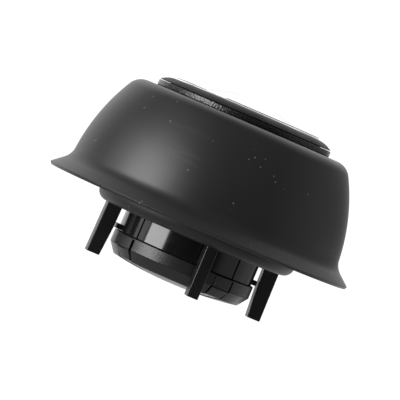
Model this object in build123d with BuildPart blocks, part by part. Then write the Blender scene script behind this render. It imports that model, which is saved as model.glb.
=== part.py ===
# Throat assembly of a kitchen garbage disposal. Millimetres, +Z up along the axis.
# z = 0 is the plane on which the bell's flared lip seats. The four legs lie on the X and Y axes.
from build123d import *
import os
from math import atan2, cos, degrees, hypot, radians, sin

os.makedirs("parts", exist_ok=True)

# Clearances
slide_gap = 0.4  # a piece that lifts out, and the walls it passes
fitted_gap = 0.1  # pieces that are fitted together and stay together
rest_gap = 0.05  # a piece that lifts out, and the face it rests on
swing_gap = 0.4  # a flap, and the band it hangs under

# Bell gasket
bell_height = 43.0
bell_wall = 2.2
mouth_radius = 53.9  # outside, just above the flared lip
shoulder_inset = 9.2  # how far the wall leans in before it turns over into the top
shoulder_drop = 3.5  # height of that turn
mouth_lean = 5.0  # degrees from upright
lip_height = 9.3
lip_flare = 6.7
lip_turn = 47.0  # degrees
cove_radius = 7.0
lip_edge = 1.0
lip_bevel = 0.6
lip_land = 1.4

# Flap cup
cup_step = 1.0  # how far the cup's band stands out past the barrel
cup_wall = 2.3
cup_height = 4.4
cup_chamfer = 0.4
neck_height = 8.8
neck_wall = 1.6
slit_count = 4  # through the cup's band; each has one wide and one narrow flap to itself
slit_width = 0.7
slit_turn = 32.0  # degrees from a leg to the next slit
narrow_span = 17.0  # degrees; the wide flaps share the rest
narrow_tip_radius = 9.0
slit_depth = 3.6
flap_taper_height = 4.0
flap_taper = 2.9
flap_dish = 2.0
flap_wall = 1.5
feed_hole_radius = 3.0

# Barrel of the lift-out core
barrel_radius = 27.2
barrel_wall = 1.8
barrel_foot = -12.8
barrel_flange_width = 3.4
barrel_flange_thickness = 1.2
barrel_slot_width = 0.8
barrel_slot_height = 20.0
lug_reach = 1.2  # past the cup's band
lug_width = 4.0
lug_height = 2.0
lug_rise = 0.4
ring_cord = 1.9
ring_groove_height = 2.4
ring_level = 30.0

# Guide sleeve and its legs
sleeve_wall = 2.3
sleeve_foot = -4.3
sleeve_flange_thickness = 2.2
thread_height = 1.3
leg_count = 4
leg_tip = -24.3
leg_depth = 6.0
leg_width = 5.8
leg_tip_depth = 5.2
leg_tip_width = 4.5
leg_splay = 1.2
leg_tip_chamfer = 0.5
rib_depth = 3.2

# Collar
collar_wall = 4.1
collar_chamfer = 0.3
washer_thickness = 0.5
washer_width = 2.9
parting_gap = 0.3  # the dark line between the collar and the stopper's rim

# Throat plug
plug_wall = 3.9  # outside the notches for the legs
plug_foot = -4.5
plug_round = 3.9
plug_top = 12.0
plug_chamfer = 1.0
plug_neck_wall = 5.2
plug_neck_height = 8.0
clamp_width = 6.4
clamp_thickness = 0.8
clamp_turn = 22.5  # degrees
clamp_box = (6.0, 8.0, 7.6)  # radial, along the screw, along Z
screw_radius = 1.7
screw_length = 13.0
screw_head_radius = 2.3
screw_head_length = 3.0

# Stopper
rim_inset = 0.3  # from the collar's edge
rim_edge = 0.1
rim_crown = 2.0
plate_overlap = 2.7  # past the outside of the barrel
plate_thickness = 1.4
bezel_width = 0.8
bezel_height = 1.1
seal_width = 0.5
seal_height = 1.4
dome_height = 8.3
dome_wall = 0.7
skirt_depth = 14.5
skirt_wall = 2.0
fin_depth = 21.5
fin_thickness = 2.0
fin_chamfer = 3.0
wiper_height = 2.4
wiper_depth = 0.7
wiper_drop = 8.0
boss_radius = 6.0
boss_depth = 7.5
stud_radius = 2.0
stud_head_radius = 4.5
stud_head_thickness = 1.4
weld_depth = 0.15
nut_radius = 4.0
nut_height = 3.2
nut_washer_radius = 5.0
nut_washer_thickness = 0.8
stud_tail = 1.2

# Radii and levels that follow
barrel_bore = barrel_radius - barrel_wall
cup_radius = barrel_radius + cup_step
sleeve_bore = cup_radius + slide_gap
sleeve_radius = sleeve_bore + sleeve_wall
lug_radius = cup_radius + lug_reach
keyway_radius = lug_radius + slide_gap
keyway_width = lug_width + 2 * slide_gap
sleeve_top = bell_height + thread_height
flange_top = sleeve_top + rest_gap + barrel_flange_thickness
stopper_seat = flange_top + rest_gap
lip_radius = mouth_radius + lip_flare
plug_radius = keyway_radius + leg_depth + plug_wall
collar_radius = sleeve_radius + collar_wall
plate_radius = barrel_radius + plate_overlap
cup_foot = barrel_foot - cup_height
clamp_level = plug_top + plug_neck_height / 2
clamp_radius = sleeve_radius + fitted_gap + plug_neck_wall + fitted_gap
skirt_radius = barrel_bore - 2 * slide_gap
plate_top = stopper_seat + plate_thickness


def ring_section(points):
    """The section of a ring, from its (radius, height) corners."""
    with BuildSketch(Plane.XZ) as section:
        with BuildLine():
            Polyline(*points, close=True)
        make_face()
    return section.sketch


# Bell gasket: one wall thickness throughout, with the lip flared out round the mouth
foot = Vector(mouth_radius, lip_height)
shoulder = Vector(mouth_radius - shoulder_inset, bell_height - shoulder_drop)
chord_lean = degrees(atan2(foot.X - shoulder.X, shoulder.Y - foot.Y))
shoulder_lean = 2 * chord_lean - mouth_lean
shoulder_round = shoulder_drop / (1 - sin(radians(shoulder_lean)))
rising = Vector(-sin(radians(mouth_lean)), cos(radians(mouth_lean)))
inner_foot = foot - Vector(cos(radians(mouth_lean)), sin(radians(mouth_lean))) * bell_wall
bell_hole = sleeve_radius + fitted_gap

with BuildPart() as bell_gasket:
    with BuildSketch(Plane.XZ):
        with BuildLine():
            outer_wall = TangentArc(foot, shoulder, tangent=rising)
            outer_turn = JernArc(outer_wall @ 1, outer_wall % 1, shoulder_round, 90 - shoulder_lean)
            top_end = outer_turn @ 1
            rim = Polyline(
                top_end,
                (bell_hole, bell_height),
                (bell_hole, bell_height - bell_wall),
                (top_end.X, bell_height - bell_wall),
            )
            inner_turn = JernArc(rim @ 1, (1, 0), shoulder_round - bell_wall, shoulder_lean - 90)
            TangentArc(inner_turn @ 1, inner_foot, tangent=inner_turn % 1)
            inner_cove = JernArc(inner_foot, -rising, cove_radius + bell_wall, lip_turn)
            outer_cove = JernArc(foot, -rising, cove_radius, lip_turn)
            Polyline(
                inner_cove @ 1,
                (lip_radius - lip_bevel - lip_land, 0),
                (lip_radius - lip_bevel, 0),
                (lip_radius, lip_edge),
                outer_cove @ 1,
            )
        make_face()
    revolve(axis=Axis.Z)

# One leg with the rib that runs up the sleeve: its side view, cut to its tapering front view
rib_top = bell_height - bell_wall - sleeve_flange_thickness / 2
leg_shoulder = plug_top - fitted_gap
leg_knee_radius = keyway_radius + leg_splay * (plug_foot - barrel_foot) / (plug_foot - leg_tip) / 2
with BuildPart() as leg:
    with BuildSketch(Plane.XZ):
        with BuildLine():
            Polyline(
                (keyway_radius, rib_top),
                (keyway_radius + rib_depth, rib_top),
                (keyway_radius + rib_depth, leg_shoulder),
                (keyway_radius + leg_depth, leg_shoulder),
                (keyway_radius + leg_depth, plug_foot),
                (keyway_radius + leg_splay + leg_tip_depth, leg_tip),
                (keyway_radius + leg_splay, leg_tip),
                (leg_knee_radius, barrel_foot),
                (keyway_radius, plug_foot),
                close=True,
            )
        make_face()
    extrude(amount=leg_width / 2, both=True)
    with BuildSketch(Plane.YZ):
        with BuildLine():
            Polyline(
                (leg_width / 2, rib_top),
                (leg_width / 2, plug_foot),
                (leg_tip_width / 2, leg_tip + leg_tip_chamfer),
                (leg_tip_width / 2 - leg_tip_chamfer, leg_tip),
                (leg_tip_chamfer - leg_tip_width / 2, leg_tip),
                (-leg_tip_width / 2, leg_tip + leg_tip_chamfer),
                (-leg_width / 2, plug_foot),
                (-leg_width / 2, rib_top),
                close=True,
            )
        make_face()
    extrude(amount=2 * keyway_radius, mode=Mode.INTERSECT)

# Guide sleeve: a flanged tube on four legs, with a keyway behind each leg
sleeve_flange_radius = top_end.X - fitted_gap
under_bell = bell_height - bell_wall
with BuildPart() as guide_sleeve:
    revolve(
        ring_section(
            [
                (sleeve_bore, sleeve_foot),
                (sleeve_radius, sleeve_foot),
                (sleeve_radius, under_bell - sleeve_flange_thickness),
                (sleeve_flange_radius, under_bell - sleeve_flange_thickness),
                (sleeve_flange_radius, under_bell),
                (sleeve_radius, under_bell),
                (sleeve_radius, sleeve_top),
                (sleeve_bore, sleeve_top),
            ]
        ),
        axis=Axis.Z,
    )
    with PolarLocations(0, leg_count):
        add(leg.part)
    with BuildSketch(Plane.XY.offset(sleeve_foot)):
        with PolarLocations(keyway_radius - sleeve_wall, leg_count):
            Rectangle(2 * sleeve_wall, keyway_width)
    extrude(amount=sleeve_top - sleeve_foot, mode=Mode.SUBTRACT)

# Collar nut on the sleeve's thread, with a slip washer in its recess
washer_bore = sleeve_radius + 2 * fitted_gap
washer_radius = washer_bore + washer_width
with BuildPart() as collar_washer:
    with BuildSketch(Plane.XY.offset(bell_height)):
        Circle(washer_radius)
        Circle(washer_bore, mode=Mode.SUBTRACT)
    extrude(amount=washer_thickness)

collar_top = stopper_seat - parting_gap
with BuildPart() as collar_nut:
    revolve(
        ring_section(
            [
                (sleeve_radius + fitted_gap, bell_height + washer_thickness),
                (washer_radius + fitted_gap, bell_height + washer_thickness),
                (washer_radius + fitted_gap, bell_height + rest_gap),
                (collar_radius, bell_height + rest_gap),
                (collar_radius, collar_top - collar_chamfer),
                (collar_radius - collar_chamfer, collar_top),
                (sleeve_radius + fitted_gap, collar_top),
            ]
        ),
        axis=Axis.Z,
    )

# Throat plug: a rubber ring on the sleeve, notched for the legs, with a neck for its clamp
plug_bore = sleeve_radius + fitted_gap
neck_radius = plug_bore + plug_neck_wall
neck_top = plug_top + plug_neck_height
notch_width = leg_width + 2 * fitted_gap
with BuildPart() as throat_plug:
    with BuildSketch(Plane.XZ):
        with BuildLine():
            corner = JernArc((plug_radius - plug_round, plug_foot), (1, 0), plug_round, 90)
            Polyline(
                corner @ 1,
                (plug_radius, plug_top - plug_chamfer),
                (plug_radius - plug_chamfer, plug_top),
                (neck_radius, plug_top),
                (neck_radius, neck_top),
                (plug_bore, neck_top),
                (plug_bore, plug_foot),
                corner @ 0,
            )
        make_face()
    revolve(axis=Axis.Z)
    for notch_radius, notch_top in (
        (keyway_radius + leg_depth + fitted_gap, plug_top),
        (keyway_radius + rib_depth + fitted_gap, neck_top),
    ):
        with BuildSketch(Plane.XY.offset(plug_foot)):
            with PolarLocations(notch_radius / 2, leg_count):
                Rectangle(notch_radius, notch_width)
        extrude(amount=notch_top - plug_foot, mode=Mode.SUBTRACT)

# Clamp band round the plug's neck, with the box that its worm screw turns in
clamp_plane = Plane.XY.rotated((0, 0, clamp_turn)).offset(clamp_level)
box_radial, box_along, box_high = clamp_box
screw_line = clamp_radius + box_radial / 2
with BuildPart() as plug_clamp_band:
    with BuildSketch(Plane.XY.offset(clamp_level)):
        Circle(clamp_radius + clamp_thickness)
        Circle(clamp_radius, mode=Mode.SUBTRACT)
    extrude(amount=clamp_width / 2, both=True)
    with BuildSketch(clamp_plane):
        with Locations((screw_line, 0)):
            Rectangle(box_radial, box_along)
    extrude(amount=box_high / 2, both=True)
    with BuildSketch(Plane.XY.offset(clamp_level)):
        Circle(clamp_radius)
    extrude(amount=box_high / 2, both=True, mode=Mode.SUBTRACT)
    upright_edges = plug_clamp_band.edges().filter_by(Axis.Z)
    fillet(upright_edges.sort_by(lambda e: hypot(e.center().X, e.center().Y))[-2:], clamp_thickness)
    screw_plane = Plane(clamp_plane.location * Location((screw_line, 0, 0), (90, 0, 0)))
    with BuildSketch(screw_plane):
        Circle(screw_radius + fitted_gap)
    extrude(amount=box_along, both=True, mode=Mode.SUBTRACT)

with BuildPart() as plug_clamp_screw:
    with BuildSketch(screw_plane.offset(-screw_length / 2)):
        Circle(screw_radius)
    extrude(amount=screw_length - (screw_length - box_along) / 2)
    with BuildSketch(screw_plane.offset(-screw_length / 2 - screw_head_length / 2)):
        RegularPolygon(screw_head_radius, 6)
    extrude(amount=screw_head_length)
    with BuildSketch(screw_plane.offset(-screw_length / 2 - screw_head_length / 2)):
        Rectangle(2 * screw_head_radius, screw_radius / 2)
    extrude(amount=screw_head_length / 3, mode=Mode.SUBTRACT)

# Barrel of the core: flanged tube with spring slots, key lugs and a ring groove
groove_floor = barrel_radius - ring_cord / 2
with BuildPart() as guard_barrel:
    revolve(
        ring_section(
            [
                (barrel_bore, barrel_foot),
                (barrel_radius, barrel_foot),
                (barrel_radius, ring_level - ring_groove_height / 2),
                (groove_floor, ring_level - ring_groove_height / 2),
                (groove_floor, ring_level + ring_groove_height / 2),
                (barrel_radius, ring_level + ring_groove_height / 2),
                (barrel_radius, sleeve_top + rest_gap),
                (barrel_radius + barrel_flange_width, sleeve_top + rest_gap),
                (barrel_radius + barrel_flange_width, flange_top),
                (barrel_bore, flange_top),
            ]
        ),
        axis=Axis.Z,
    )
    with BuildSketch(Plane.XY.offset(barrel_foot + lug_rise)):
        with PolarLocations((barrel_bore + lug_radius) / 2, leg_count):
            Rectangle(lug_radius - barrel_bore, lug_width)
        Circle(barrel_radius - barrel_wall / 2, mode=Mode.SUBTRACT)
    extrude(amount=lug_height)
    with BuildSketch(Plane.XY.offset(barrel_foot)):
        with PolarLocations(barrel_radius, leg_count, start_angle=slit_turn):
            Rectangle(4 * barrel_wall, barrel_slot_width)
    extrude(amount=barrel_slot_height, mode=Mode.SUBTRACT)

with BuildPart() as barrel_o_ring:
    with BuildSketch(Plane.XZ):
        with Locations((groove_floor + fitted_gap + ring_cord / 2, ring_level)):
            Circle(ring_cord / 2)
    revolve(axis=Axis.Z)

# Rubber cup: a neck inside the barrel and a slit band below it
neck_outer = barrel_bore - fitted_gap
neck_inner = neck_outer - neck_wall
band_top = barrel_foot - rest_gap
with BuildPart() as splash_cup:
    revolve(
        ring_section(
            [
                (neck_inner, barrel_foot + neck_height),
                (neck_outer, barrel_foot + neck_height),
                (neck_outer, band_top),
                (cup_radius - cup_chamfer, band_top),
                (cup_radius, band_top - cup_chamfer),
                (cup_radius, cup_foot),
                (cup_radius - cup_wall, cup_foot),
                (cup_radius - cup_wall, cup_foot + cup_wall),
                (neck_inner, band_top),
            ]
        ),
        axis=Axis.Z,
    )
    with BuildSketch(Plane.XY.offset(cup_foot)):
        with PolarLocations(cup_radius, slit_count, start_angle=slit_turn):
            Rectangle(3 * cup_wall, slit_width)
    extrude(amount=slit_depth, mode=Mode.SUBTRACT)

with BuildPart() as cup_retainer:
    retainer_radius = neck_inner - fitted_gap
    retainer_bore = retainer_radius - barrel_wall / 2
    retainer_top = barrel_foot + neck_height + fitted_gap
    revolve(
        ring_section(
            [
                (retainer_bore, band_top),
                (retainer_radius, band_top),
                (retainer_radius, retainer_top),
                (neck_outer, retainer_top),
                (neck_outer, retainer_top + barrel_wall / 2),
                (retainer_bore, retainer_top + barrel_wall / 2),
            ]
        ),
        axis=Axis.Z,
    )

# Flaps: wide and narrow sectors of one shallow dished cone, each hinged at the band's outer edge
flap_top = cup_foot - swing_gap
flap_knee = (cup_radius - flap_taper, flap_top - flap_taper_height)
flap_tip_level = flap_knee[1] - flap_dish
wide_span = 360 / slit_count - narrow_span
wedge_reach = 1.5 * cup_radius
flaps = {}
for number in range(2 * slit_count):
    is_narrow = number % 2 == 1
    flap_span = narrow_span if is_narrow else wide_span
    first_side = slit_turn + (number // 2) * 360 / slit_count + (wide_span if is_narrow else 0)
    flap_turn = first_side + flap_span / 2
    wedge_start = slit_width / 2 / sin(radians(flap_span / 2))
    with BuildPart() as flap:
        with BuildSketch(Plane.XZ):
            with BuildLine():
                Polyline(
                    (cup_radius - flap_wall, flap_top),
                    (cup_radius, flap_top),
                    flap_knee,
                )
                dish = TangentArc(
                    (feed_hole_radius, flap_tip_level),
                    flap_knee,
                    tangent=(1, 0),
                )
                Line(dish @ 0, dish @ 0 + Vector(0, flap_wall))
                upper = TangentArc(
                    (feed_hole_radius, flap_tip_level + flap_wall),
                    (flap_knee[0] - flap_wall, flap_knee[1] + flap_wall),
                    tangent=(1, 0),
                )
                Line(upper @ 1, (cup_radius - flap_wall, flap_top))
            make_face()
        revolve(axis=Axis.Z)
        with BuildSketch(Plane.XY.offset(flap_tip_level - flap_wall).rotated((0, 0, flap_turn))):
            with BuildLine():
                side = Vector(wedge_reach, 0).rotate(Axis.Z, flap_span / 2)
                start = Vector(wedge_start, 0)
                Polyline(start, start + side, start + Vector(side.X, -side.Y), close=True)
            make_face()
            if is_narrow:
                Circle(narrow_tip_radius, mode=Mode.SUBTRACT)
        extrude(amount=3 * flap_wall + flap_dish + flap_taper_height, mode=Mode.INTERSECT)
    flap.part.label = f"flap_{number + 1}"
    flaps[flap.part.label] = flap.part

# Stopper body: plate, skirt, boss and four guide fins
skirt_foot = stopper_seat - skirt_depth
fin_foot = stopper_seat - fin_depth
boss_foot = stopper_seat - boss_depth
wiper_top = stopper_seat - wiper_drop
wiper_foot = wiper_top - wiper_height
fin_outer = skirt_radius - skirt_wall / 2
fin_inner = nut_washer_radius + fin_thickness
with BuildPart() as fin:
    with BuildSketch(Plane.XZ):
        with BuildLine():
            Polyline(
                (boss_radius - fin_thickness, stopper_seat),
                (fin_outer, stopper_seat),
                (fin_outer, fin_foot + fin_chamfer),
                (fin_outer - fin_chamfer, fin_foot),
                (fin_inner, fin_foot),
                (fin_inner, boss_foot),
                (boss_radius - fin_thickness, boss_foot),
                close=True,
            )
        make_face()
    extrude(amount=fin_thickness / 2, both=True)

with BuildPart() as stopper_body:
    revolve(
        ring_section(
            [
                (stud_radius + fitted_gap, plate_top),
                (plate_radius, plate_top),
                (plate_radius, stopper_seat),
                (skirt_radius, stopper_seat),
                (skirt_radius, wiper_top),
                (skirt_radius - wiper_depth, wiper_top),
                (skirt_radius - wiper_depth, wiper_foot),
                (skirt_radius, wiper_foot),
                (skirt_radius, skirt_foot),
                (skirt_radius - skirt_wall, skirt_foot),
                (skirt_radius - skirt_wall, stopper_seat),
                (boss_radius, stopper_seat),
                (boss_radius, boss_foot),
                (stud_radius + fitted_gap, boss_foot),
            ]
        ),
        axis=Axis.Z,
    )
    with PolarLocations(0, leg_count, start_angle=slit_turn):
        add(fin.part)

with BuildPart() as stopper_lip_seal:
    with BuildSketch(Plane.XY.offset(wiper_foot + fitted_gap)):
        Circle(skirt_radius + slide_gap)
        Circle(skirt_radius - wiper_depth + fitted_gap, mode=Mode.SUBTRACT)
    extrude(amount=wiper_height - 2 * fitted_gap)

# Crowned rim round the plate
rim_bore = plate_radius + fitted_gap
rim_radius = collar_radius - rim_inset
with BuildPart() as stopper_rim:
    with BuildSketch(Plane.XZ):
        with BuildLine():
            Polyline(
                (rim_bore, stopper_seat + rim_crown),
                (rim_bore, stopper_seat),
                (rim_radius, stopper_seat),
                (rim_radius, stopper_seat + rim_edge),
            )
            RadiusArc(
                (rim_bore, stopper_seat + rim_crown),
                (rim_radius, stopper_seat + rim_edge),
                2 * (rim_radius - rim_bore),
            )
        make_face()
    revolve(axis=Axis.Z)

# Steel bezel, black seal and steel dome, standing on the plate one inside the other
bezel_radius = plate_radius
bezel_bore = bezel_radius - bezel_width
with BuildPart() as dome_bezel:
    with BuildSketch(Plane.XY.offset(plate_top)):
        Circle(bezel_radius)
        Circle(bezel_bore, mode=Mode.SUBTRACT)
    extrude(amount=bezel_height)
    fillet(dome_bezel.edges().group_by(Axis.Z)[-1], bezel_width / 3)

seal_radius = bezel_bore - fitted_gap
with BuildPart() as stopper_seal:
    with BuildSketch(Plane.XY.offset(plate_top)):
        Circle(seal_radius)
        Circle(seal_radius - seal_width, mode=Mode.SUBTRACT)
    extrude(amount=seal_height)

dome_radius = seal_radius - seal_width - fitted_gap
dome_base = plate_top + seal_height
dome_apex = dome_base + dome_height
dome_underside = dome_apex - dome_wall
with BuildPart() as stopper_dome:
    with BuildSketch(Plane.XZ):
        with BuildLine():
            crown = TangentArc((0, dome_apex), (dome_radius, dome_base), tangent=(1, 0))
            hollow = TangentArc((0, dome_underside), (dome_radius - dome_wall, dome_base), tangent=(1, 0))
            Line(crown @ 0, hollow @ 0)
            Polyline(crown @ 1, (dome_radius, plate_top), (dome_radius - dome_wall, plate_top), hollow @ 1)
        make_face()
    revolve(axis=Axis.Z)

# Stud welded under the dome, with the washer and nut that pull it down
stud_foot = boss_foot - nut_washer_thickness - nut_height - stud_tail
with BuildPart() as dome_stud:
    with BuildSketch(Plane.XY.offset(stud_foot)):
        Circle(stud_radius)
    extrude(amount=dome_underside + weld_depth - stud_foot)
    with BuildSketch(Plane.XY.offset(dome_underside + weld_depth)):
        Circle(stud_head_radius)
    extrude(amount=-stud_head_thickness)

with BuildPart() as dome_washer:
    with BuildSketch(Plane.XY.offset(boss_foot)):
        Circle(nut_washer_radius)
        Circle(stud_radius + fitted_gap, mode=Mode.SUBTRACT)
    extrude(amount=-nut_washer_thickness)

with BuildPart() as dome_nut:
    with BuildSketch(Plane.XY.offset(boss_foot - nut_washer_thickness)):
        RegularPolygon(nut_radius, 6)
        Circle(stud_radius + fitted_gap, mode=Mode.SUBTRACT)
    extrude(amount=-nut_height)

bell_gasket.part.label = "bell_gasket"
guide_sleeve.part.label = "guide_sleeve"
collar_nut.part.label = "collar_nut"
collar_washer.part.label = "collar_washer"
throat_plug.part.label = "throat_plug"
plug_clamp_band.part.label = "plug_clamp_band"
plug_clamp_screw.part.label = "plug_clamp_screw"
guard_barrel.part.label = "guard_barrel"
barrel_o_ring.part.label = "barrel_o_ring"
splash_cup.part.label = "splash_cup"
cup_retainer.part.label = "cup_retainer"
stopper_body.part.label = "stopper_body"
stopper_lip_seal.part.label = "stopper_lip_seal"
stopper_rim.part.label = "stopper_rim"
dome_bezel.part.label = "dome_bezel"
stopper_seal.part.label = "stopper_seal"
stopper_dome.part.label = "stopper_dome"
dome_stud.part.label = "dome_stud"
dome_washer.part.label = "dome_washer"
dome_nut.part.label = "dome_nut"

export_step(bell_gasket.part, "parts/bell_gasket.step")
export_step(guide_sleeve.part, "parts/guide_sleeve.step")
export_step(collar_nut.part, "parts/collar_nut.step")
export_step(collar_washer.part, "parts/collar_washer.step")
export_step(throat_plug.part, "parts/throat_plug.step")
export_step(plug_clamp_band.part, "parts/plug_clamp_band.step")
export_step(plug_clamp_screw.part, "parts/plug_clamp_screw.step")
export_step(guard_barrel.part, "parts/guard_barrel.step")
export_step(barrel_o_ring.part, "parts/barrel_o_ring.step")
export_step(splash_cup.part, "parts/splash_cup.step")
export_step(cup_retainer.part, "parts/cup_retainer.step")
for label, flap_part in flaps.items():
    export_step(flap_part, f"parts/{label}.step")
export_step(stopper_body.part, "parts/stopper_body.step")
export_step(stopper_lip_seal.part, "parts/stopper_lip_seal.step")
export_step(stopper_rim.part, "parts/stopper_rim.step")
export_step(dome_bezel.part, "parts/dome_bezel.step")
export_step(stopper_seal.part, "parts/stopper_seal.step")
export_step(stopper_dome.part, "parts/stopper_dome.step")
export_step(dome_stud.part, "parts/dome_stud.step")
export_step(dome_washer.part, "parts/dome_washer.step")
export_step(dome_nut.part, "parts/dome_nut.step")
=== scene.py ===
from math import atan2, cos, degrees, pi, radians, sin, sqrt, tan

import bpy
from mathutils import Matrix, Vector


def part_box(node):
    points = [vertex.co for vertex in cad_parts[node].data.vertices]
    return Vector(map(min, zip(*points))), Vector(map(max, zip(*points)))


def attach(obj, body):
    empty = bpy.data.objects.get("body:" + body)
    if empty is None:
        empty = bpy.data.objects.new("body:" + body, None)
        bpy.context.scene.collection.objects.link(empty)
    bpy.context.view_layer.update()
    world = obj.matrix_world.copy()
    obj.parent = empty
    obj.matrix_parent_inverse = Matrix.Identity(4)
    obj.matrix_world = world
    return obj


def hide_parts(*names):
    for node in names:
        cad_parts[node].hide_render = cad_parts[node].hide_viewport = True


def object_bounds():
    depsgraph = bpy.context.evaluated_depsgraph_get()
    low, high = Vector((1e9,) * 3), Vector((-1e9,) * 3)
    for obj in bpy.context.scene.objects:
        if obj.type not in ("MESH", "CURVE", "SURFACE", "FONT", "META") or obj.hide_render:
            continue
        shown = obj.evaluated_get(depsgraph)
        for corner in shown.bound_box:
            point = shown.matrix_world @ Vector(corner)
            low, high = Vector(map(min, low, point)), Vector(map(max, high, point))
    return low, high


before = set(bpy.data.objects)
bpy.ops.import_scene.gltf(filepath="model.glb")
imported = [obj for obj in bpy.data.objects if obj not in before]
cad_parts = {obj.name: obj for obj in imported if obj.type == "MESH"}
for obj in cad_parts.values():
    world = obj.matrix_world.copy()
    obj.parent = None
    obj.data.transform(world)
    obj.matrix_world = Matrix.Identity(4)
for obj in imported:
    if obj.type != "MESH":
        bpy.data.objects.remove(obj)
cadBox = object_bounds()
print("frame loaded:", len(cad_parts), "nodes")

mm = 0.001
sameSpot = 1e-7  # vertices nearer than this are one vertex
legCount = 4
quarterTurn = 360 / legCount  # degrees
slitTurn = 32  # degrees from a leg to the next slit
wideSpan, narrowSpan = 73, 17  # degrees of a wide and a narrow flap


def clearSelection():
    if bpy.context.object and bpy.context.object.mode != "OBJECT":
        bpy.ops.object.mode_set(mode="OBJECT")
    bpy.ops.object.select_all(action="DESELECT")


def makeActive(piece):
    clearSelection()
    piece.select_set(True)
    bpy.context.view_layer.objects.active = piece


def settle(piece, smoothAngle=32):
    # puts the place into the mesh, closes seams, turns faces outwards and smooths them
    makeActive(piece)
    bpy.ops.object.transform_apply(location=True, rotation=True, scale=True)
    bpy.ops.object.mode_set(mode="EDIT")
    bpy.ops.mesh.select_all(action="SELECT")
    bpy.ops.mesh.remove_doubles(threshold=sameSpot)
    bpy.ops.mesh.normals_make_consistent(inside=False)
    bpy.ops.object.mode_set(mode="OBJECT")
    bpy.ops.object.shade_smooth_by_angle(angle=radians(smoothAngle))
    return piece


def arcPoints(centre, radius, fromAngle, toAngle, steps):
    points = []
    for step in range(steps + 1):
        angle = radians(fromAngle + (toAngle - fromAngle) * step / steps)
        points.append(centre + Vector((cos(angle), sin(angle))) * radius)
    return points


def crownPoints(start, end, radius, steps):
    # an arc from start to end that bulges to the left of its direction
    half = (end - start) / 2
    inward = Vector((half.y, -half.x)).normalized()
    centre = start + half + inward * sqrt(radius**2 - half.length_squared)
    fromAngle = degrees(atan2(start.y - centre.y, start.x - centre.x))
    toAngle = degrees(atan2(end.y - centre.y, end.x - centre.x))
    return arcPoints(centre, radius, fromAngle, toAngle, steps)


def softOutline(corners, steps=5):
    # corners are (distance from the axis, height, rounding); a rounded corner becomes a small arc
    outline = []
    for index, (across, height, rounding) in enumerate(corners):
        here = Vector((across, height))
        if not rounding:
            outline.append(here)
            continue
        before = (Vector(corners[index - 1][:2]) - here).normalized()
        after = (Vector(corners[(index + 1) % len(corners)][:2]) - here).normalized()
        halfTurn = before.angle(after) / 2
        centre = here + (before + after).normalized() * rounding / sin(halfTurn)
        start = here + before * rounding / tan(halfTurn) - centre
        end = here + after * rounding / tan(halfTurn) - centre
        for step in range(steps + 1):
            spoke = start.lerp(end, step / steps).normalized()
            outline.append(centre + spoke * rounding)
    return outline


def sharp(points):
    return [(point.x, point.y, 0) for point in points]


def drawOutline(name, outline, closed=True):
    # one vertex pushed along the outline, beside the axis; the piece is left in edit mode
    clearSelection()
    bpy.ops.mesh.primitive_plane_add(size=mm, location=(outline[0].x, 0, outline[0].y))
    piece = bpy.context.object
    piece.name = name
    bpy.ops.object.transform_apply(location=True)
    bpy.ops.object.mode_set(mode="EDIT")
    bpy.ops.mesh.select_all(action="SELECT")
    bpy.ops.mesh.merge(type="CENTER")
    nextPoints = outline[1:] + outline[:1] if closed else outline[1:]
    for here, there in zip(outline, nextPoints):
        move = there - here
        bpy.ops.mesh.extrude_vertices_move(TRANSFORM_OT_translate={"value": (move.x, 0, move.y)})
    bpy.ops.mesh.select_all(action="SELECT")
    bpy.ops.mesh.remove_doubles(threshold=sameSpot)
    bpy.ops.mesh.select_all(action="SELECT")
    return piece


def spinRing(name, outline, steps=160, closed=True, smoothAngle=32):
    piece = drawOutline(name, outline, closed)
    bpy.ops.mesh.spin(steps=steps, angle=2 * pi, center=(0, 0, 0), axis=(0, 0, 1), use_auto_merge=True)
    return settle(piece, smoothAngle)


def spinSector(name, outline, firstSide, span, steps):
    # a solid slice of a ring; angles in degrees
    piece = drawOutline(name, outline)
    bpy.ops.mesh.edge_face_add()
    bpy.ops.mesh.spin(steps=steps, angle=radians(span), center=(0, 0, 0), axis=(0, 0, 1))
    bpy.ops.object.mode_set(mode="OBJECT")
    spanMiddle = max(piece.data.vertices, key=lambda v: abs(v.co.y)).co.y
    piece.rotation_euler.z = radians(firstSide if spanMiddle > 0 else firstSide + span)
    return settle(piece)


def prism(name, outline, thickness):
    # a flat outline beside the axis, given thickness on both sides of it
    piece = drawOutline(name, outline)
    bpy.ops.mesh.edge_face_add()
    bpy.ops.mesh.extrude_region_move(TRANSFORM_OT_translate={"value": (0, thickness, 0)})
    bpy.ops.object.mode_set(mode="OBJECT")
    piece.location.y = -thickness / 2
    return settle(piece)


def block(name, size, centre, turn=0):
    clearSelection()
    bpy.ops.mesh.primitive_cube_add(size=1)
    piece = bpy.context.object
    piece.name = name
    piece.scale = size
    bpy.ops.object.transform_apply(scale=True)
    bpy.ops.transform.translate(value=centre)
    bpy.ops.object.transform_apply(location=True)
    piece.rotation_euler.z = radians(turn)
    bpy.ops.object.transform_apply(rotation=True)
    return piece


def applyModifier(piece, kind, **settings):
    makeActive(piece)
    modifier = piece.modifiers.new(kind.title(), kind)
    for key, value in settings.items():
        setattr(modifier, key, value)
    bpy.ops.object.modifier_apply(modifier=modifier.name)


def softenEdges(piece, width, segments=3, overAngle=30):
    applyModifier(
        piece, "BEVEL", width=width, segments=segments, limit_method="ANGLE", angle_limit=radians(overAngle)
    )


def combine(piece, other, operation):
    # joins or cuts with another piece, which is used up
    applyModifier(piece, "BOOLEAN", object=other, operation=operation, solver="EXACT")
    bpy.data.objects.remove(other)


def copyTurned(piece, name, turn):
    # a copy with its own mesh, turned about the axis
    makeActive(piece)
    bpy.ops.object.duplicate()
    copy = bpy.context.object
    copy.name = name
    copy.rotation_euler.z = radians(turn)
    bpy.ops.object.transform_apply(rotation=True)
    return copy


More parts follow.
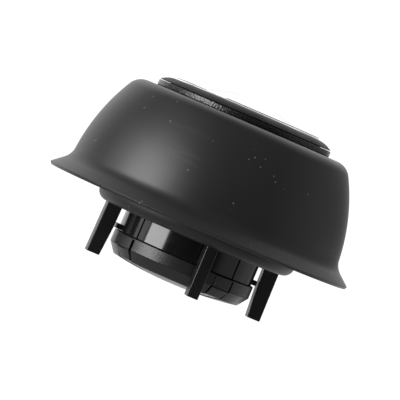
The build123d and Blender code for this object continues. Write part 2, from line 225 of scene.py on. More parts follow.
def place(piece, material, body, slotName, *nodes):
    # the piece's material, the body that it rides on and the CAD nodes that it stands for
    applyModifier(piece, "WEIGHTED_NORMAL", keep_sharp=True)
    piece.data.materials.clear()
    piece.data.materials.append(material)
    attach(piece, body)
    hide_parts(*nodes)
    print(piece.name, "made")


class NodeTree:
    # short ways to add and join nodes
    def __init__(self, tree, coordinates):
        self.tree = tree
        self.where = self.add("ShaderNodeTexCoord").outputs[coordinates]

    def add(self, kind, **settings):
        node = self.tree.nodes.new(kind)
        for key, value in settings.items():
            setattr(node, key, value)
        return node

    def join(self, output, target):
        self.tree.links.new(output, target)

    def feed(self, node, *values):
        for socket, value in zip(node.inputs, values):
            if isinstance(value, (int, float)):
                socket.default_value = value
            else:
                self.join(value, socket)

    def math(self, operation, first, second):
        node = self.add("ShaderNodeMath", operation=operation)
        self.feed(node, first, second)
        return node.outputs[0]

    def spread(self, value, low, high, newLow=0.0, newHigh=1.0, smooth=False):
        node = self.add("ShaderNodeMapRange")
        if smooth:
            node.interpolation_type = "SMOOTHSTEP"
        self.feed(node, value, low, high, newLow, newHigh)
        return node.outputs["Result"]

    def along(self, direction):
        node = self.add("ShaderNodeVectorMath", operation="DOT_PRODUCT")
        self.join(self.where, node.inputs[0])
        node.inputs[1].default_value = direction
        return node.outputs["Value"]


class Finish(NodeTree):
    # a new material
    def __init__(self, name):
        self.material = bpy.data.materials.new(name)
        self.material.use_nodes = True
        super().__init__(self.material.node_tree, "Object")
        self.shader = self.tree.nodes["Principled BSDF"]
        self.bumps = None

    def stretched(self, stretch):
        if stretch is None:
            return self.where
        mapping = self.add("ShaderNodeMapping")
        mapping.inputs["Scale"].default_value = stretch
        self.join(self.where, mapping.inputs["Vector"])
        return mapping.outputs["Vector"]

    def noise(self, scale, detail=3.0, roughness=0.5, stretch=None):
        node = self.add("ShaderNodeTexNoise")
        node.inputs["Scale"].default_value = scale
        node.inputs["Detail"].default_value = detail
        node.inputs["Roughness"].default_value = roughness
        self.join(self.stretched(stretch), node.inputs["Vector"])
        return node.outputs["Fac"]

    def cells(self, scale):
        node = self.add("ShaderNodeTexVoronoi")
        node.inputs["Scale"].default_value = scale
        self.join(self.where, node.inputs["Vector"])
        return node.outputs["Distance"]

    def nearTo(self, spot, reach):
        # 1 near the spot, fading to 0 at the reach
        node = self.add("ShaderNodeVectorMath", operation="DISTANCE")
        self.join(self.where, node.inputs[0])
        node.inputs[1].default_value = spot
        return self.spread(node.outputs["Value"], reach, reach / 3)

    def tint(self, share, first, second):
        node = self.add("ShaderNodeMix", data_type="RGBA")
        self.join(share, node.inputs["Factor"])
        for socket, value in ((node.inputs["A"], first), (node.inputs["B"], second)):
            if isinstance(value, tuple):
                socket.default_value = (*value, 1)
            else:
                self.join(value, socket)
        return node.outputs["Result"]

    def bump(self, height, depth):
        # relief of the given depth in metres, on top of the relief so far
        node = self.add("ShaderNodeBump")
        node.inputs["Strength"].default_value = 1
        node.inputs["Distance"].default_value = depth
        self.join(height, node.inputs["Height"])
        if self.bumps:
            self.join(self.bumps, node.inputs["Normal"])
        self.bumps = node.outputs["Normal"]

    def patches(self, look):
        # wide soft areas, from one tone to another
        return self.spread(self.noise(look["patchScale"], look["patchDetail"]), low=0.3, high=0.7)

    def done(self, colour, roughness, **constants):
        self.join(colour, self.shader.inputs["Base Color"])
        self.join(roughness, self.shader.inputs["Roughness"])
        self.join(self.bumps, self.shader.inputs["Normal"])
        for name, value in constants.items():
            self.shader.inputs[name.replace("_", " ")].default_value = value
        return self.material


def rubberFinish(name, look):
    finish = Finish(name)
    patches = finish.patches(look)
    clean = finish.tint(patches, look["dark"], look["light"])
    speck = finish.spread(finish.cells(look["speckScale"]), look["speckSize"], look["speckSize"] / 2)
    fewSpots = finish.noise(look["speckScale"] / 2, detail=0)
    chosen = finish.spread(fewSpots, look["speckRare"], look["speckRare"] + look["speckFade"])
    dusty = finish.tint(finish.math("MULTIPLY", speck, chosen), clean, look["dust"])
    streaks = finish.noise(look["scuffScale"], detail=3, roughness=0.6, stretch=look["scuffStretch"])
    strokes = finish.spread(streaks, low=0.55, high=0.7)
    scuffs = finish.math("MULTIPLY", strokes, finish.nearTo(look["scuffPlace"], look["scuffReach"]))
    worn = finish.tint(scuffs, dusty, look["scuffTone"])
    evenRough = finish.spread(patches, 0, 1, look["smooth"], look["rough"])
    rough = finish.math("ADD", evenRough, finish.math("MULTIPLY", scuffs, look["scuffRough"]))
    finish.bump(finish.noise(look["waveScale"], detail=2), look["waveDepth"])
    finish.bump(finish.noise(look["grainScale"], detail=3, roughness=0.6), look["grainDepth"])
    finish.bump(scuffs, look["scuffDepth"])
    return finish.done(worn, rough)


def plasticFinish(name, look):
    finish = Finish(name)
    colour = finish.tint(finish.patches(look), look["dark"], look["light"])
    wiped = finish.noise(look["wipeScale"], detail=4, roughness=0.65)
    rough = finish.spread(wiped, 0.35, 0.7, look["smooth"], look["rough"])
    finish.bump(finish.noise(look["waveScale"], detail=2), look["waveDepth"])
    finish.bump(finish.noise(look["pebbleScale"], detail=1), look["pebbleDepth"])
    return finish.done(colour, rough, Specular_IOR_Level=look["shine"])


def steelFinish(name, look):
    finish = Finish(name)
    colour = finish.tint(finish.patches(look), look["dark"], look["light"])
    brushed = finish.noise(look["brushScale"], detail=3, roughness=0.6, stretch=look["brushStretch"])
    rough = finish.spread(brushed, 0.3, 0.7, look["smooth"], look["rough"])
    finish.bump(brushed, look["brushDepth"])
    return finish.done(colour, rough, Metallic=1)


rubberLook = {
    "dark": (0.0105, 0.0105, 0.0108),
    "light": (0.0135, 0.0135, 0.0138),
    "dust": (0.2, 0.2, 0.19),
    "patchScale": 45,
    "patchDetail": 4,
    "speckScale": 260,
    "speckSize": 0.09,
    "speckRare": 0.55,
    "speckFade": 0.03,
    "scuffPlace": (-26 * mm, -45 * mm, 24 * mm),
    "scuffReach": 17 * mm,
    "scuffTone": (0.024, 0.024, 0.024),
    "scuffScale": 60,
    "scuffStretch": (0.6, 0.6, 7),
    "scuffRough": 0.04,
    "scuffDepth": 0.004 * mm,
    "smooth": 0.4,
    "rough": 0.44,
    "waveScale": 28,
    "waveDepth": 0.12 * mm,
    "grainScale": 2600,
    "grainDepth": 0.006 * mm,
}
bellRubber = rubberFinish("bellRubber", rubberLook)
plugRubber = rubberFinish("plugRubber", {**rubberLook, "speckSize": 0.06, "smooth": 0.48, "rough": 0.54})
flapRubber = rubberFinish(
    "flapRubber",
    {
        **rubberLook,
        "speckSize": 0.05,
        "smooth": 0.3,
        "rough": 0.4,
        "grainScale": 1100,
        "grainDepth": 0.05 * mm,
    },
)
sealRubber = rubberFinish("sealRubber", {**rubberLook, "speckSize": 0.02, "smooth": 0.3, "rough": 0.38})

plasticLook = {
    "dark": (0.0055, 0.0055, 0.0058),
    "light": (0.0075, 0.0075, 0.0078),
    "patchScale": 60,
    "patchDetail": 4,
    "wipeScale": 90,
    "smooth": 0.09,
    "rough": 0.15,
    "waveScale": 70,
    "waveDepth": 0.05 * mm,
    "pebbleScale": 1800,
    "pebbleDepth": 0.002 * mm,
    "shine": 0.5,
}
barrelPlastic = plasticFinish("barrelPlastic", plasticLook)
rimPlastic = plasticFinish("rimPlastic", {**plasticLook, "smooth": 0.5, "rough": 0.6, "shine": 0.2})
collarPlastic = plasticFinish(
    "collarPlastic",
    {**plasticLook, "pebbleScale": 1200, "pebbleDepth": 0.22 * mm, "smooth": 0.24, "rough": 0.34},
)
satinPlastic = plasticFinish(
    "satinPlastic",
    {
        **plasticLook,
        "dark": (0.002, 0.002, 0.0021),
        "light": (0.003, 0.003, 0.0031),
        "smooth": 0.3,
        "rough": 0.4,
        "pebbleScale": 1400,
        "pebbleDepth": 0.01 * mm,
    },
)
slipPlastic = plasticFinish(
    "slipPlastic", {**plasticLook, "dark": (0.03, 0.03, 0.03), "light": (0.04, 0.04, 0.04), "rough": 0.4}
)

steelLook = {
    "dark": (0.5, 0.5, 0.49),
    "light": (0.66, 0.66, 0.65),
    "patchScale": 80,
    "patchDetail": 3,
    "brushScale": 120,
    "brushStretch": (1, 1, 18),
    "brushDepth": 0.004 * mm,
    "smooth": 0.22,
    "rough": 0.36,
}
brushedSteel = steelFinish("brushedSteel", steelLook)
polishedSteel = steelFinish(
    "polishedSteel",
    {
        **steelLook,
        "dark": (0.86, 0.86, 0.86),
        "light": (0.93, 0.93, 0.93),
        "smooth": 0.08,
        "rough": 0.14,
        "brushStretch": (1, 1, 1),
        "brushDepth": 0.0006 * mm,
    },
)
print("finishes made")

sleeveTube = 30.9 * mm  # outside radius
fittedGap = 0.1 * mm

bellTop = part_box("bell_gasket")[1]
bell = {
    "wall": 2.2 * mm,
    "mouthLean": 5,  # degrees from upright
    "shoulderInset": 9.2 * mm,
    "shoulderDrop": 3.5 * mm,
    "lipFlare": 6.7 * mm,
    "lipHeight": 9.3 * mm,
    "lipTurn": 47,  # degrees
    "coveRadius": 7.0 * mm,
    "lipEdge": 1.0 * mm,
    "lipBevel": 0.6 * mm,
    "lipLand": 1.4 * mm,
    "lipRound": 0.2 * mm,
    "steps": 224,
}


def leanOut(angle):
    return Vector((cos(radians(angle)), sin(radians(angle))))


def bellCurves():
    # centres, radii and end angles of the wall, of the turn at its top and of the cove at its foot
    lean, cove = bell["mouthLean"], bell["coveRadius"]
    foot = Vector((bellTop.x - bell["lipFlare"], bell["lipHeight"]))
    shoulder = Vector((foot.x - bell["shoulderInset"], bellTop.z - bell["shoulderDrop"]))
    chord = foot - shoulder
    chordLean = degrees(atan2(chord.x, -chord.y))
    shoulderLean = 2 * chordLean - lean
    wallRadius = chord.length / 2 / sin(radians(chordLean - lean))
    turnRadius = bell["shoulderDrop"] / (1 - sin(radians(shoulderLean)))
    return {
        "wall": (foot - leanOut(lean) * wallRadius, wallRadius, lean, shoulderLean),
        "turn": (shoulder - leanOut(shoulderLean) * turnRadius, turnRadius, shoulderLean, 90),
        "cove": (foot + leanOut(lean) * cove, cove, 180 + lean + bell["lipTurn"], 180 + lean),
    }


def bellOutline(curves):
    outer, inner = [], []
    for name, steps, thicker in (("cove", 10, 1), ("wall", 18, -1), ("turn", 8, -1)):
        centre, radius, fromAngle, toAngle = curves[name]
        outer += arcPoints(centre, radius, fromAngle, toAngle, steps)
        inner += arcPoints(centre, radius + thicker * bell["wall"], fromAngle, toAngle, steps)
    top, hole = bellTop.z, sleeveTube + fittedGap
    lipTip = bellTop.x - bell["lipBevel"]
    lip = softOutline(
        [
            (inner[0].x, inner[0].y, 0),
            (lipTip - bell["lipLand"], 0, bell["lipRound"]),
            (lipTip, 0, bell["lipRound"]),
            (bellTop.x, bell["lipEdge"], bell["lipRound"]),
            (outer[0].x, outer[0].y, 0),
        ]
    )
    holeEdge = [Vector((hole, top)), Vector((hole, top - bell["wall"]))]
    return outer + holeEdge + inner[::-1] + lip[1:-1]


curves = bellCurves()
bellGasket = spinRing("bellGasket", bellOutline(curves), bell["steps"])
place(bellGasket, bellRubber, "housing", "bell_rubber", "bell_gasket")

plugFoot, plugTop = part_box("throat_plug")
plug = {
    "round": 3.9 * mm,
    "shoulder": 12.0 * mm,
    "shoulderRound": 1.0 * mm,
    "neckRadius": 36.2 * mm,
    "edgeRound": 0.4 * mm,
    "legNotch": 35.9 * mm,
    "ribNotch": 33.1 * mm,
    "notchWidth": 6.0 * mm,
}


def makeThroatPlug():
    bore, edge = sleeveTube + fittedGap, plug["edgeRound"]
    ring = spinRing(
        "throatPlug",
        softOutline(
            [
                (bore, plugFoot.z, edge),
                (plugTop.x, plugFoot.z, plug["round"]),
                (plugTop.x, plug["shoulder"], plug["shoulderRound"]),
                (plug["neckRadius"], plug["shoulder"], edge),
                (plug["neckRadius"], plugTop.z, edge),
                (bore, plugTop.z, edge),
            ],
            steps=8,
        ),
    )
    for reach, top in ((plug["legNotch"], plug["shoulder"]), (plug["ribNotch"], plugTop.z + edge)):
        for turn in (0, quarterTurn):
            low = plugFoot.z - edge
            size, middle = (2 * reach, plug["notchWidth"], top - low), (top + low) / 2
            combine(ring, block("notch", size, (0, 0, middle), turn), "DIFFERENCE")
    return settle(ring)


place(makeThroatPlug(), plugRubber, "housing", "plug_rubber", "throat_plug")

sleeveFoot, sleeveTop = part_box("guide_sleeve")
sleeve = {
    "bore": 28.6 * mm,
    "tubeFoot": -4.3 * mm,
    "flange": 2.2 * mm,
    "edgeRound": 0.25 * mm,
    "keyway": 29.8 * mm,
    "keywayWidth": 4.8 * mm,
    "ribDepth": 3.2 * mm,
    "legTop": 11.9 * mm,
    "legRoot": -4.5 * mm,
    "legDepth": 6.0 * mm,
    "legWidth": 5.8 * mm,
    "knee": -12.8 * mm,
    "splay": 1.2 * mm,
    "tipDepth": 5.2 * mm,
    "tipWidth": 4.5 * mm,
    "legRound": 0.35 * mm,
    "inset": 0.06 * mm,  # the leg's face stands behind the keyway's floor
}


def makeLeg():
    back, tip = sleeve["keyway"] + sleeve["inset"], sleeveFoot.z
    ribTop = bellTop.z - bell["wall"] - sleeve["flange"] / 2
    kneeShare = (sleeve["legRoot"] - sleeve["knee"]) / (sleeve["legRoot"] - tip)
    tipBack = sleeve["keyway"] + sleeve["splay"]
    sideView = [
        (back, ribTop),
        (back + sleeve["ribDepth"], ribTop),
        (back + sleeve["ribDepth"], sleeve["legTop"]),
        (back + sleeve["legDepth"], sleeve["legTop"]),
        (back + sleeve["legDepth"], sleeve["legRoot"]),
        (tipBack + sleeve["tipDepth"], tip),
        (tipBack, tip),
        (back + sleeve["splay"] * kneeShare / 2, sleeve["knee"]),
        (back, sleeve["legRoot"]),
    ]
    leg = prism("leg", [Vector(corner) for corner in sideView], sleeve["legWidth"])
    makeActive(leg)
    for vertex in leg.data.vertices:
        vertex.select = vertex.co.z < tip + fittedGap
    bpy.ops.object.mode_set(mode="EDIT")
    narrower = sleeve["tipWidth"] / sleeve["legWidth"]
    bpy.ops.transform.resize(value=(1, narrower, 1), center_override=(0, 0, 0))
    bpy.ops.object.mode_set(mode="OBJECT")
    softenEdges(leg, sleeve["legRound"])
    return leg


def makeGuideSleeve():
    edge, underBell = sleeve["edgeRound"], bellTop.z - bell["wall"]
    flangeRadius = curves["turn"][0].x - fittedGap
    tube = spinRing(
        "guideSleeve",
        softOutline(
            [
                (sleeve["bore"], sleeve["tubeFoot"], edge),
                (sleeveTube, sleeve["tubeFoot"], edge),
                (sleeveTube, underBell - sleeve["flange"], 2 * edge),
                (flangeRadius, underBell - sleeve["flange"], edge),
                (flangeRadius, underBell, edge),
                (sleeveTube, underBell, 0),
                (sleeveTube, sleeveTop.z, edge),
                (sleeve["bore"], sleeveTop.z, edge),
            ],
            steps=3,
        ),
    )
    leg = makeLeg()
    for number in range(1, legCount):
        combine(tube, copyTurned(leg, "leg", quarterTurn * number), "UNION")
    combine(tube, leg, "UNION")
    high, low = sleeveTop.z + mm, sleeve["tubeFoot"] - mm
    for turn in (0, quarterTurn):
        size = (2 * sleeve["keyway"], sleeve["keywayWidth"], high - low)
        combine(tube, block("keyway", size, (0, 0, (high + low) / 2), turn), "DIFFERENCE")
    return settle(tube)


place(makeGuideSleeve(), satinPlastic, "housing", "satin_plastic", "guide_sleeve")

collarFoot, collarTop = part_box("collar_nut")
collar = {"recessRadius": 34.1 * mm, "recessTop": 43.5 * mm, "edgeRound": 0.35 * mm, "innerRound": 0.15 * mm}
collarNut = spinRing(
    "collarNut",
    softOutline(
        [
            (sleeveTube + fittedGap, collar["recessTop"], 0),
            (collar["recessRadius"], collar["recessTop"], 0),
            (collar["recessRadius"], collarFoot.z, collar["innerRound"]),
            (collarTop.x, collarFoot.z, collar["edgeRound"]),
            (collarTop.x, collarTop.z, collar["edgeRound"]),
            (sleeveTube + fittedGap, collarTop.z, collar["innerRound"]),
        ]
    ),
)
place(collarNut, collarPlastic, "housing", "gloss_plastic", "collar_nut")

barrelFoot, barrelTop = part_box("guard_barrel")
barrel = {
    "radius": 27.2 * mm,
    "bore": 25.4 * mm,
    "flange": 1.2 * mm,
    "grooveFloor": 26.25 * mm,
    "grooveHeight": 2.4 * mm,
    "grooveLevel": 30.0 * mm,
    "edgeRound": 0.3 * mm,
    "slotWidth": 0.8 * mm,
    "slotHeight": 20.0 * mm,
    "lugReach": 29.4 * mm,
    "lugWidth": 4.0 * mm,
    "lugHeight": 2.0 * mm,
    "lugRise": 0.4 * mm,
}


def makeGuardBarrel():
    edge, wall = barrel["edgeRound"], barrel["radius"] - barrel["bore"]
    seat = barrelTop.z - barrel["flange"]
    grooveLow = barrel["grooveLevel"] - barrel["grooveHeight"] / 2
    grooveHigh = grooveLow + barrel["grooveHeight"]
    tube = spinRing(
        "guardBarrel",
        softOutline(
            [
                (barrel["bore"], barrelFoot.z, edge),
                (barrel["radius"], barrelFoot.z, edge),
                (barrel["radius"], grooveLow, edge / 2),
                (barrel["grooveFloor"], grooveLow, edge / 2),
                (barrel["grooveFloor"], grooveHigh, edge / 2),
                (barrel["radius"], grooveHigh, edge / 2),
                (barrel["radius"], seat, 0),
                (barrelTop.x, seat, edge / 2),
                (barrelTop.x, barrelTop.z, edge),
                (barrel["bore"], barrelTop.z, edge),
            ],
            steps=4,
        ),
    )
    lugRoot = barrel["bore"] + wall / 2
    lugSize = (barrel["lugReach"] - lugRoot, barrel["lugWidth"], barrel["lugHeight"])
    lugLevel = barrelFoot.z + barrel["lugRise"] + barrel["lugHeight"] / 2
    for number in range(legCount):
        middle = ((barrel["lugReach"] + lugRoot) / 2, 0, lugLevel)
        lug = block("lug", lugSize, middle, quarterTurn * number)
        softenEdges(lug, edge / 2)
        combine(tube, lug, "UNION")
    for turn in (slitTurn, slitTurn + quarterTurn):
        size = (2 * barrelTop.x, barrel["slotWidth"], 2 * barrel["slotHeight"])
        combine(tube, block("slot", size, (0, 0, barrelFoot.z), turn), "DIFFERENCE")
    return settle(tube)


place(makeGuardBarrel(), barrelPlastic, "core", "gloss_plastic", "guard_barrel")

ringFoot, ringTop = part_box("barrel_o_ring")
ringRadius = (ringTop.z - ringFoot.z) / 2
ringSides = 24
ringCentre = Vector((ringTop.x - ringRadius, ringFoot.z + ringRadius))
ringOutline = arcPoints(ringCentre, ringRadius, 0, 360 - 360 / ringSides, ringSides - 1)
barrelRing = spinRing("barrelRing", ringOutline)
place(barrelRing, sealRubber, "core", "seal_rubber", "barrel_o_ring")

cupFoot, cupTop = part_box("splash_cup")
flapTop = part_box("flap_1")[1].z
cup = {
    "radius": 28.2 * mm,
    "bandTop": -12.85 * mm,
    "bandWall": 2.3 * mm,
    "neckOutside": 25.3 * mm,
    "neckInside": 23.7 * mm,
    "edgeRound": 0.4 * mm,
    "hingeGap": 0.06 * mm,
    "slitWidth": 0.7 * mm,
    "slitDepth": 3.6 * mm,
    "slitMouth": 1.6,  # how many times wider the slit is at its top
    "stripRise": 0.28 * mm,
    "stripSteps": 8,
}


def makeSlit(turn):
    low, high = cupFoot.z - mm, cupFoot.z + cup["slitDepth"]
    cutter = block("slit", (3 * cup["radius"], cup["slitWidth"], high - low), (0, 0, (low + high) / 2))
    makeActive(cutter)
    for vertex in cutter.data.vertices:
        vertex.select = vertex.co.z > cupFoot.z
    bpy.ops.object.mode_set(mode="EDIT")
    bpy.ops.transform.resize(value=(1, cup["slitMouth"], 1), center_override=(0, 0, 0))
    bpy.ops.object.mode_set(mode="OBJECT")
    cutter.rotation_euler.z = radians(turn)
    bpy.ops.object.transform_apply(rotation=True)
    return cutter


def makeSplashCup():
    edge, foot, wall = cup["edgeRound"], flapTop + cup["hingeGap"], cup["bandWall"]
    ring = spinRing(
        "splashCup",
        softOutline(
            [
                (cup["neckInside"], cupTop.z, edge),
                (cup["neckOutside"], cupTop.z, edge),
                (cup["neckOutside"], cup["bandTop"], 0),
                (cup["radius"], cup["bandTop"], edge),
                (cup["radius"], foot, edge / 4),
                (cup["radius"] - wall, foot, edge / 4),
                (cup["radius"] - wall, foot + wall, edge),
                (cup["neckInside"], cup["bandTop"], edge),
            ],
            steps=4,
        ),
    )
    strip = softOutline(
        [
            (cup["radius"] - wall / 2, cup["bandTop"] - edge, 0),
            (cup["radius"] + cup["stripRise"], cup["bandTop"] - edge, edge / 2),
            (cup["radius"] + cup["stripRise"], foot, edge / 4),
            (cup["radius"] - wall / 2, foot, 0),
        ],
        steps=2,
    )
    for number in range(legCount):
        firstSide = slitTurn - narrowSpan + quarterTurn * number
        combine(ring, spinSector("strip", strip, firstSide, narrowSpan, cup["stripSteps"]), "UNION")
    for turn in (slitTurn, slitTurn + quarterTurn):
        combine(ring, makeSlit(turn), "DIFFERENCE")
    return settle(ring)


place(makeSplashCup(), flapRubber, "core", "flap_rubber", "splash_cup")

flap = {
    "wall": 1.5 * mm,
    "taper": 2.9 * mm,
    "taperHeight": 4.0 * mm,
    "dish": 2.0 * mm,
    "dishSteps": 8,
    "holeRadius": 3.0 * mm,
    "narrowTip": 9.0 * mm,
    "kneeRound": 0.9 * mm,
    "sideGap": 0.75,  # degrees
    "narrowLift": 0.3 * mm,
    "swingClear": 1.4,  # how far below the hinge a raised face starts, in terms of its rise
    "edgeRound": 0.22 * mm,
    "wideSteps": 40,
    "narrowSteps": 10,
}


def flapOutline(tipRadius, rise, lift):
    # the dish is an arc that lies flat at the middle of the cup
    radius, wall, steps = cup["radius"], flap["wall"], flap["dishSteps"]
    knee = Vector((radius - flap["taper"], flapTop - flap["taperHeight"] + lift))
    run = knee.x - flap["holeRadius"]
    dishRadius = (run**2 + flap["dish"] ** 2) / (2 * flap["dish"])
    kneeAngle = degrees(2 * atan2(flap["dish"], run))
    tipAngle = degrees(atan2(tipRadius - flap["holeRadius"], dishRadius))
    centre = Vector((flap["holeRadius"], knee.y - flap["dish"] + dishRadius))
    under = arcPoints(centre, dishRadius, kneeAngle - 90, tipAngle - 90, steps)
    over = arcPoints(centre, dishRadius - wall, tipAngle - 90, kneeAngle - 90, steps)
    corners = [
        (radius - wall, flapTop, 0),
        (radius, flapTop, 0),
        (radius + rise, flapTop - flap["swingClear"] * rise, 0),
        (knee.x + rise, knee.y, flap["kneeRound"]),
        *sharp(under[1:]),
        *sharp(over[:-1]),
        (knee.x - wall, knee.y + wall, 0),
    ]
    return softOutline(corners, steps=4)


def makeFlap(name, number, firstSide, span, outline, steps):
    gap = flap["sideGap"]
    piece = spinSector(name, outline, firstSide + gap, span - 2 * gap, steps)
    softenEdges(piece, flap["edgeRound"], segments=2)
    node = f"flap_{number}"
    place(settle(piece), flapRubber, node, "flap_rubber", node)


wideOutline = flapOutline(flap["holeRadius"], 0, 0)
narrowOutline = flapOutline(flap["narrowTip"], cup["stripRise"], flap["narrowLift"])
for quarter in range(legCount):
    firstSide = slitTurn + quarterTurn * quarter
    makeFlap("wideFlap", 2 * quarter + 1, firstSide, wideSpan, wideOutline, flap["wideSteps"])
    secondSide = firstSide + wideSpan
    makeFlap("narrowFlap", 2 * quarter + 2, secondSide, narrowSpan, narrowOutline, flap["narrowSteps"])

rimFoot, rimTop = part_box("stopper_rim")
rim = {"bore": 30.0 * mm, "edge": 0.1 * mm, "crown": 9.4 * mm, "crownSteps": 10}
crownStart, crownEnd = Vector((rim["bore"], rimTop.z)), Vector((rimTop.x, rimFoot.z + rim["edge"]))
stopperRim = spinRing(
    "stopperRim",
    [Vector((rim["bore"], rimFoot.z))]
    + crownPoints(crownStart, crownEnd, rim["crown"], rim["crownSteps"])
    + [Vector((rimTop.x, rimFoot.z))],
)
place(stopperRim, rimPlastic, "stopper", "gloss_plastic", "stopper_rim")

bezelFoot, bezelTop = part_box("dome_bezel")
bezel = {"width": 0.8 * mm, "outerRound": 0.75 * mm, "innerRound": 0.04 * mm}
domeBezel = spinRing(
    "domeBezel",
    softOutline(
        [
            (bezelTop.x - bezel["width"], bezelFoot.z, 0),
            (bezelTop.x, bezelFoot.z, 0),
            (bezelTop.x, bezelTop.z, bezel["outerRound"]),
            (bezelTop.x - bezel["width"], bezelTop.z, bezel["innerRound"]),
        ]
    ),
)
place(domeBezel, polishedSteel, "stopper", "polished_steel", "dome_bezel")

sealFoot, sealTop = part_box("stopper_seal")
seal = {"width": 0.5 * mm, "edgeRound": 0.15 * mm, "lip": 0.22 * mm}  # the lip stands above the bezel
stopperSeal = spinRing(
    "stopperSeal",
    softOutline(
        [
            (sealTop.x - seal["width"], sealFoot.z, 0),
            (sealTop.x, sealFoot.z, 0),
            (sealTop.x, bezelTop.z + seal["lip"], seal["edgeRound"]),
            (sealTop.x - seal["width"], bezelTop.z + seal["lip"], seal["edgeRound"]),
        ]
    ),
)
place(stopperSeal, sealRubber, "stopper", "seal_rubber", "stopper_seal")

domeFoot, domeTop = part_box("stopper_dome")
dome = {"height": 8.3 * mm, "wall": 0.7 * mm}


def domeCurve(radius, height, apex, steps=24):
    # from the middle of the dome out to its edge
    crownRadius = (radius**2 + height**2) / (2 * height)
    edgeAngle = degrees(2 * atan2(height, radius))
    return arcPoints(Vector((0, apex - crownRadius)), crownRadius, 90, 90 - edgeAngle, steps)


def makeStopperDome():
    outer = domeCurve(domeTop.x, dome["height"], domeTop.z)
    inner = domeCurve(domeTop.x - dome["wall"], dome["height"] - dome["wall"], domeTop.z - dome["wall"])
    skirt = [Vector((domeTop.x, domeFoot.z)), Vector((domeTop.x - dome["wall"], domeFoot.z))]
    return spinRing("stopperDome", outer + skirt + inner[::-1], closed=False)


place(makeStopperDome(), polishedSteel, "stopper", "polished_steel", "stopper_dome")

keptNodes = {
    "collar_washer": slipPlastic,
    "plug_clamp_band": brushedSteel,
    "plug_clamp_screw": brushedSteel,
    "cup_retainer": brushedSteel,
    "stopper_body": satinPlastic,
    "stopper_lip_seal": sealRubber,
    "dome_stud": brushedSteel,
    "dome_washer": brushedSteel,
    "dome_nut": brushedSteel,
}
for name, material in keptNodes.items():
    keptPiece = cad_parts[name]
    keptPiece.data.materials.clear()
    keptPiece.data.materials.append(material)
print("kept pieces given their finishes")

studio = {
    "viewAzimuth": -13.5,  # degrees
    "viewElevation": 1.0,
    "roll": 23.2,
    "distance": 1.5,
    "frameWidth": 0.1504,
    "aimSide": -3.1 * mm,
    "aimHeight": 9.4 * mm,
    "floorDrop": 0.28,
    "floorSize": 6,
    "floorGlow": 0.42,
    "white": 1.1,
    "frontGlow": 0.03,
    "overheadGlow": 0.25,
    "rightPanel": 0.36,
    "highWall": 0.8,  # as a share of the low wall
    "shadedWall": 0.25,
    "sensorWidth": 36,  # millimetres, as a camera wants it
    "nearest": 0.1,
    "farthest": 100,
}
# where each part of the surroundings begins and is full, as a share of that direction
parts = {
    "lowWall": (0.3, 0.8),
    "highWall": (0.1, 0.35),
    "upper": (0.55, 0.8),
    "lower": (0.5, 0.8),
    "shadedSide": (0.15, 0.5),
    "rightPanel": (0.7, 0.95),
    "overhead": (0.1, 0.6),
    "farFloor": (0.1, 0.7),
}
lamps = {
    "keySoftbox": {"bearing": -55, "elevation": 7, "distance": 0.9, "size": (0.55, 0.55), "power": 9.0},
    "sideSoftbox": {"bearing": -86, "elevation": 8, "distance": 0.9, "size": (0.36, 0.55), "power": 0.9},
}


def viewVectors():
    azimuth, elevation = radians(studio["viewAzimuth"]), radians(studio["viewElevation"])
    back = Vector((sin(azimuth) * cos(elevation), -cos(azimuth) * cos(elevation), sin(elevation)))
    right = Vector((cos(azimuth), sin(azimuth), 0))
    return back, right, back.cross(right)


def makeCamera():
    back, right, up = viewVectors()
    aim = right * studio["aimSide"] + Vector((0, 0, studio["aimHeight"]))
    roll = radians(studio["roll"])
    cameraRight = right * cos(roll) + up * sin(roll)
    cameraUp = up * cos(roll) - right * sin(roll)
    data = bpy.data.cameras.new("camera")
    data.sensor_width = studio["sensorWidth"]
    data.lens = studio["sensorWidth"] * studio["distance"] / studio["frameWidth"]
    data.clip_start, data.clip_end = studio["nearest"], studio["farthest"]
    camera = bpy.data.objects.new("camera", data)
    camera.location = aim + back * studio["distance"]
    camera.rotation_euler = Matrix((cameraRight, cameraUp, back)).transposed().to_euler()
    bpy.context.scene.collection.objects.link(camera)
    bpy.context.scene.camera = camera


def softbox(name, bearing, elevation, distance, size, power):
    # a lamp that faces the object; its bearing is from the view axis, right being positive
    back, right, _ = viewVectors()
    aside, rise = radians(bearing), radians(elevation)
    toward = (back * cos(aside) + right * sin(aside)) * cos(rise) + Vector((0, 0, 1)) * sin(rise)
    data = bpy.data.lights.new(name, "AREA")
    data.shape = "RECTANGLE"
    data.size, data.size_y = size
    data.energy = power
    light = bpy.data.objects.new(name, data)
    light.location = toward * distance
    light.rotation_euler = toward.to_track_quat("Z", "Y").to_euler()
    bpy.context.scene.collection.objects.link(light)


def pickForCamera(tree, seen, lit):
    # one strength for what the camera sees and another for what lights the object
    pick = tree.add("ShaderNodeMix")
    tree.join(tree.add("ShaderNodeLightPath").outputs["Is Camera Ray"], pick.inputs["Factor"])
    for socket, value in ((pick.inputs["A"], lit), (pick.inputs["B"], seen)):
        if isinstance(value, (int, float)):
            socket.default_value = value
        else:
            tree.join(value, socket)
    return pick.outputs["Result"]


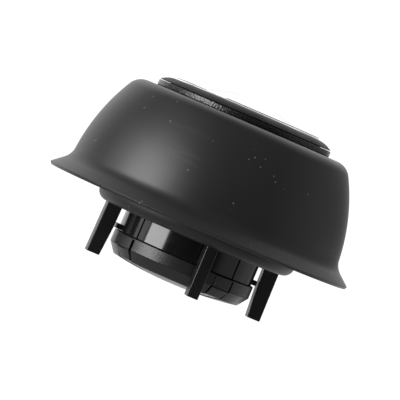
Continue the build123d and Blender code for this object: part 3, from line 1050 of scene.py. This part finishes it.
def makeWorld():
    # white to the camera; to the object, a bright back wall, a panel on the right and a dim front
    world = bpy.data.worlds.new("studio")
    bpy.context.scene.world = world
    world.use_nodes = True
    world.node_tree.nodes.clear()
    tree = NodeTree(world.node_tree, "Generated")

    def part(direction, name, *ends):
        return tree.spread(direction, *parts[name], *ends, smooth=True)

    back, right, _ = viewVectors()
    behind, toRight, height = tree.along(-back), tree.along(right), tree.along((0, 0, 1))
    highWall = tree.math("MULTIPLY", part(behind, "highWall"), part(height, "upper", 0, studio["highWall"]))
    wall = tree.math("MAXIMUM", part(behind, "lowWall"), highWall)
    shaded = tree.math("MULTIPLY", part(toRight, "shadedSide"), part(height, "lower", 1, 0))
    wallGlow = tree.spread(shaded, 0, 1, studio["white"], studio["shadedWall"])
    panel = tree.math("MULTIPLY", part(toRight, "rightPanel"), studio["rightPanel"])
    overhead = part(height, "overhead", studio["frontGlow"], studio["overheadGlow"])
    lit = tree.math("ADD", tree.math("MULTIPLY", wall, wallGlow), tree.math("ADD", panel, overhead))
    backdrop = tree.add("ShaderNodeBackground")
    backdrop.inputs["Color"].default_value = (1, 1, 1, 1)
    tree.join(pickForCamera(tree, studio["white"], lit), backdrop.inputs["Strength"])
    tree.join(backdrop.outputs["Background"], tree.add("ShaderNodeOutputWorld").inputs["Surface"])


def makeFloor():
    clearSelection()
    level = cadBox[0][2] - studio["floorDrop"]
    bpy.ops.mesh.primitive_plane_add(size=studio["floorSize"], location=(0, 0, level))
    floor = bpy.context.object
    floor.name = "floor"
    material = bpy.data.materials.new("paleFloor")
    material.use_nodes = True
    material.node_tree.nodes.clear()
    tree = NodeTree(material.node_tree, "Object")
    glow = tree.add("ShaderNodeEmission")
    back, _, _ = viewVectors()
    away = tree.along(-back)
    lit = tree.spread(away, *parts["farFloor"], studio["floorGlow"], studio["white"], smooth=True)
    tree.join(pickForCamera(tree, studio["white"], lit), glow.inputs["Strength"])
    fromBelow = tree.add("ShaderNodeMixShader")  # nothing is seen of the floor from underneath
    tree.join(tree.add("ShaderNodeNewGeometry").outputs["Backfacing"], fromBelow.inputs["Fac"])
    tree.join(glow.outputs["Emission"], fromBelow.inputs[1])
    tree.join(tree.add("ShaderNodeBsdfTransparent").outputs["BSDF"], fromBelow.inputs[2])
    surface = tree.add("ShaderNodeOutputMaterial").inputs["Surface"]
    tree.join(fromBelow.outputs["Shader"], surface)
    floor.data.materials.append(material)


makeCamera()
makeWorld()
makeFloor()
for name, settings in lamps.items():
    softbox(name, **settings)
bpy.context.scene.view_settings.view_transform = "Standard"
print("studio made")
